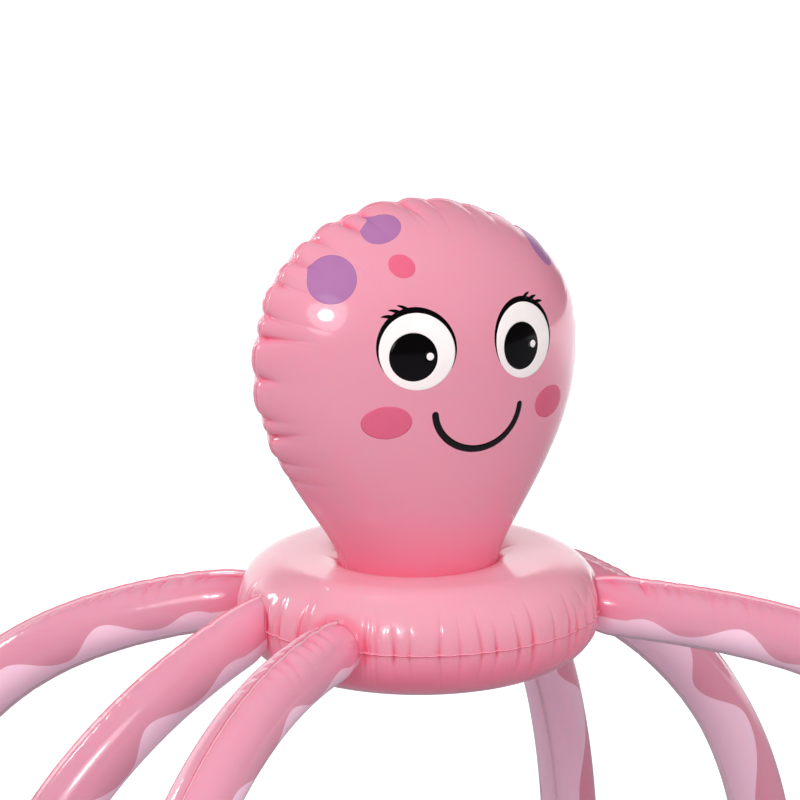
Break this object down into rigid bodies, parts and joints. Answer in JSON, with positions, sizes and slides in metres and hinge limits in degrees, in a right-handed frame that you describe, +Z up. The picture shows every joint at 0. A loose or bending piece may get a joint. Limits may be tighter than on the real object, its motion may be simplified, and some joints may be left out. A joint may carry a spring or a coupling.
{
  "type": "inflatable octopus",
  "caption": "Free-standing inflatable octopus: a pillow head in a swim ring, held up on arching arms that stand on the ground.",
  "frame": {"origin": "on the axis of the ring, at ground level under the soles", "axes": "+Z up, the face looks towards -Y, +X is to the right of a viewer who faces the face"},
  "size_m": [2.5228, 1.747, 2.095],
  "materials": {
    "head_vinyl": "gloss",
    "ring_vinyl": "gloss",
    "arm_vinyl": "gloss",
    "arm_pale_vinyl": "gloss",
    "ink_print": "gloss",
    "white_print": "gloss",
    "blush_print": "gloss",
    "purple_print": "gloss",
    "valve_vinyl": "gloss"
  },
  "bodies": {
    "ring": {"ring_top_sheet": "ring_vinyl", "ring_bottom_sheet": "ring_vinyl", "ring_valve_patch": "valve_vinyl"},
    "head": {"head_front_panel": "head_vinyl", "head_back_panel": "head_vinyl", "head_base_disc": "head_vinyl", "head_valve_patch": "valve_vinyl"},
    "arm_a": {"arm_a_left_panel": "arm_vinyl", "arm_a_right_panel": "arm_vinyl", "arm_a_sole": "arm_vinyl"},
    "arm_b": {"arm_b_left_panel": "arm_vinyl", "arm_b_right_panel": "arm_vinyl", "arm_b_sole": "arm_vinyl"},
    "arm_c": {"arm_c_left_panel": "arm_vinyl", "arm_c_right_panel": "arm_vinyl", "arm_c_sole": "arm_vinyl"},
    "arm_d": {"arm_d_left_panel": "arm_vinyl", "arm_d_right_panel": "arm_vinyl", "arm_d_sole": "arm_vinyl"},
    "arm_e": {"arm_e_left_panel": "arm_vinyl", "arm_e_right_panel": "arm_vinyl", "arm_e_sole": "arm_vinyl"},
    "arm_f": {"arm_f_left_panel": "arm_vinyl", "arm_f_right_panel": "arm_vinyl", "arm_f_sole": "arm_vinyl"},
    "head_valve_stem": {"head_valve_stem": "valve_vinyl"},
    "head_valve_plug": {"head_valve_plug": "valve_vinyl"},
    "head_valve_flap": {"head_valve_flap": "valve_vinyl"},
    "ring_valve_stem": {"ring_valve_stem": "valve_vinyl"},
    "ring_valve_plug": {"ring_valve_plug": "valve_vinyl"},
    "ring_valve_flap": {"ring_valve_flap": "valve_vinyl"}
  },
  "joints": [
    {"name": "head_nod", "type": "hinge", "parent": "ring", "child": "head", "pos_m": [0, 0, 1.12], "axis": [1, 0, 0], "range_deg": [-4, 4], "stiffness_Nm_per_rad": 60},
    {"name": "arm_a_flex", "type": "hinge", "parent": "ring", "child": "arm_a", "pos_m": [-0.3591, 0.25426, 1.12], "axis": [0.5779, 0.8161, 0], "range_deg": [-5, 5], "stiffness_Nm_per_rad": 80},
    {"name": "arm_b_flex", "type": "hinge", "parent": "ring", "child": "arm_b", "pos_m": [-0.43958, 0.01919, 1.12], "axis": [0.0436, 0.999, 0], "range_deg": [-5, 5], "stiffness_Nm_per_rad": 80},
    {"name": "arm_c_flex", "type": "hinge", "parent": "ring", "child": "arm_c", "pos_m": [-0.36563, -0.24477, 1.12], "axis": [-0.5563, 0.831, 0], "range_deg": [-5, 5], "stiffness_Nm_per_rad": 80},
    {"name": "arm_d_flex", "type": "hinge", "parent": "ring", "child": "arm_d", "pos_m": [0.36563, -0.24477, 1.12], "axis": [-0.5563, -0.831, 0], "range_deg": [-5, 5], "stiffness_Nm_per_rad": 80},
    {"name": "arm_e_flex", "type": "hinge", "parent": "ring", "child": "arm_e", "pos_m": [0.43923, 0.0261, 1.12], "axis": [0.0593, -0.9982, 0], "range_deg": [-5, 5], "stiffness_Nm_per_rad": 80},
    {"name": "arm_f_flex", "type": "hinge", "parent": "ring", "child": "arm_f", "pos_m": [0.35954, 0.25363, 1.12], "axis": [0.5764, -0.8171, 0], "range_deg": [-5, 5], "stiffness_Nm_per_rad": 80},
    {"name": "head_valve_press", "type": "slide", "parent": "head", "child": "head_valve_stem", "axis": [0, 0.983, -0.1836], "range_m": [-0.014, 0]},
    {"name": "head_valve_plug_swing", "type": "hinge", "parent": "head_valve_stem", "child": "head_valve_plug", "pos_m": [-0.0105, 0.23947, 1.42894], "axis": [0, 0.1836, 0.983], "range_deg": [0, 140]},
    {"name": "head_valve_flap_swing", "type": "hinge", "parent": "head_valve_stem", "child": "head_valve_flap", "pos_m": [-0.007, 0.21716, 1.43311], "axis": [0, -0.1836, -0.983], "range_deg": [0, 50], "stiffness_Nm_per_rad": 0.00002},
    {"name": "ring_valve_press", "type": "slide", "parent": "ring", "child": "ring_valve_stem", "axis": [0, 0.4695, 0.8829], "range_m": [-0.014, 0]},
    {"name": "ring_valve_plug_swing", "type": "hinge", "parent": "ring_valve_stem", "child": "ring_valve_plug", "pos_m": [-0.0105, 0.38279, 1.2475], "axis": [0, -0.8829, 0.4695], "range_deg": [0, 140]},
    {"name": "ring_valve_flap_swing", "type": "hinge", "parent": "ring_valve_stem", "child": "ring_valve_flap", "pos_m": [-0.007, 0.37213, 1.22745], "axis": [0, 0.8829, -0.4695], "range_deg": [0, 50], "stiffness_Nm_per_rad": 0.00002}
  ]
}
